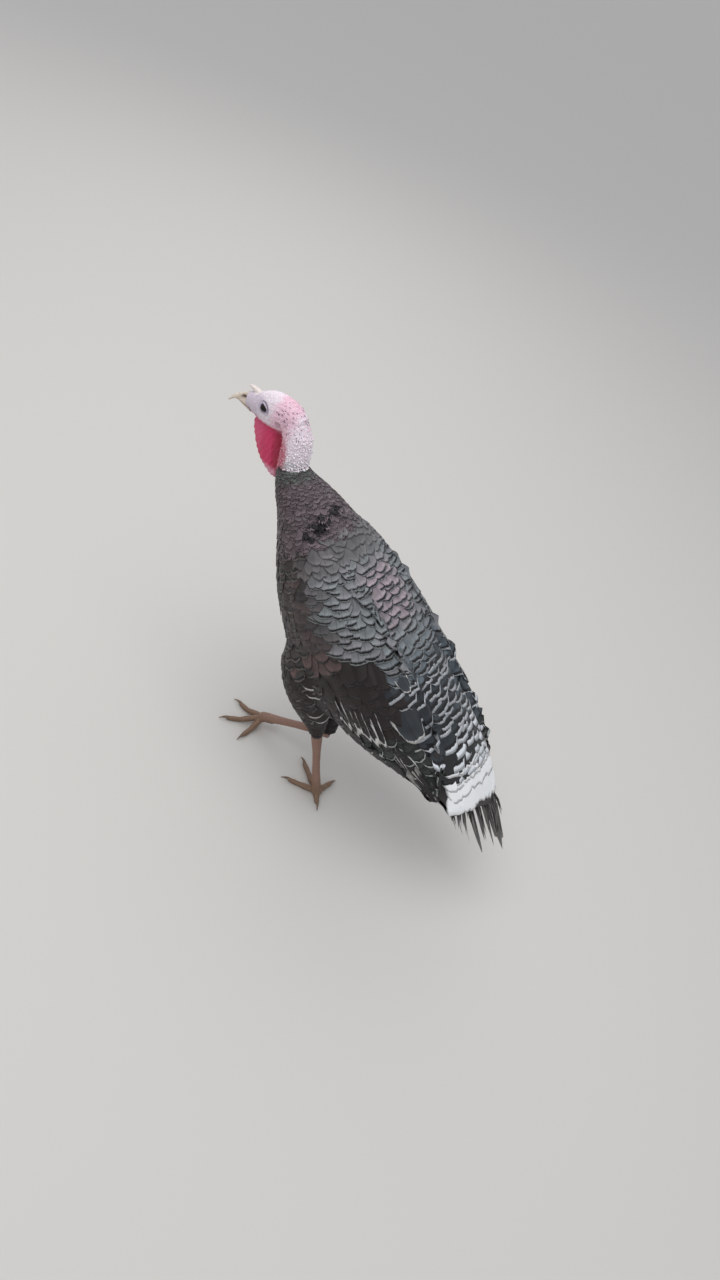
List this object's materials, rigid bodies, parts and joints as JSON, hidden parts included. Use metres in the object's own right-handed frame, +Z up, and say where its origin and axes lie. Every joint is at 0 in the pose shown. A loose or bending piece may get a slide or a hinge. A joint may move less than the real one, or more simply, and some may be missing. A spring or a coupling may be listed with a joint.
{
  "type": "domestic turkey",
  "caption": "Life-size domestic turkey hen in a walking step, bare head with throat fold, dark scaled plumage and pale tail coverts.",
  "frame": {"origin": "middle of the left foot's flat sole, on the floor", "axes": "+Z up; the bird faces -Y and its left side is +X"},
  "size_m": [0.2086, 0.6772, 0.559],
  "materials": {
    "plumage": "satin",
    "tail_plumage": "satin",
    "bare_skin": "satin",
    "wattle": "satin",
    "bill_horn": "satin",
    "eye": "gloss",
    "leg_scales": "satin",
    "claw_horn": "satin"
  },
  "bodies": {
    "root": {"trunk": "plumage", "neck_ruff": "plumage", "neck": "bare_skin", "head": "bare_skin", "snood": "bare_skin", "dewlap": "wattle", "bill_upper": "bill_horn", "bill_lower": "bill_horn", "eye_left": "eye", "eye_right": "eye", "wing_left": "plumage", "wing_right": "plumage", "tail_coverts": "tail_plumage", "tail": "tail_plumage", "thigh_left": "plumage", "thigh_right": "plumage", "shank_left": "leg_scales", "shank_right": "leg_scales", "foot_left": "leg_scales", "foot_right": "leg_scales", "claw_left_inner": "claw_horn", "claw_left_middle": "claw_horn", "claw_left_outer": "claw_horn", "claw_left_hind": "claw_horn", "claw_right_inner": "claw_horn", "claw_right_middle": "claw_horn", "claw_right_outer": "claw_horn", "claw_right_hind": "claw_horn"}
  },
  "joints": []
}
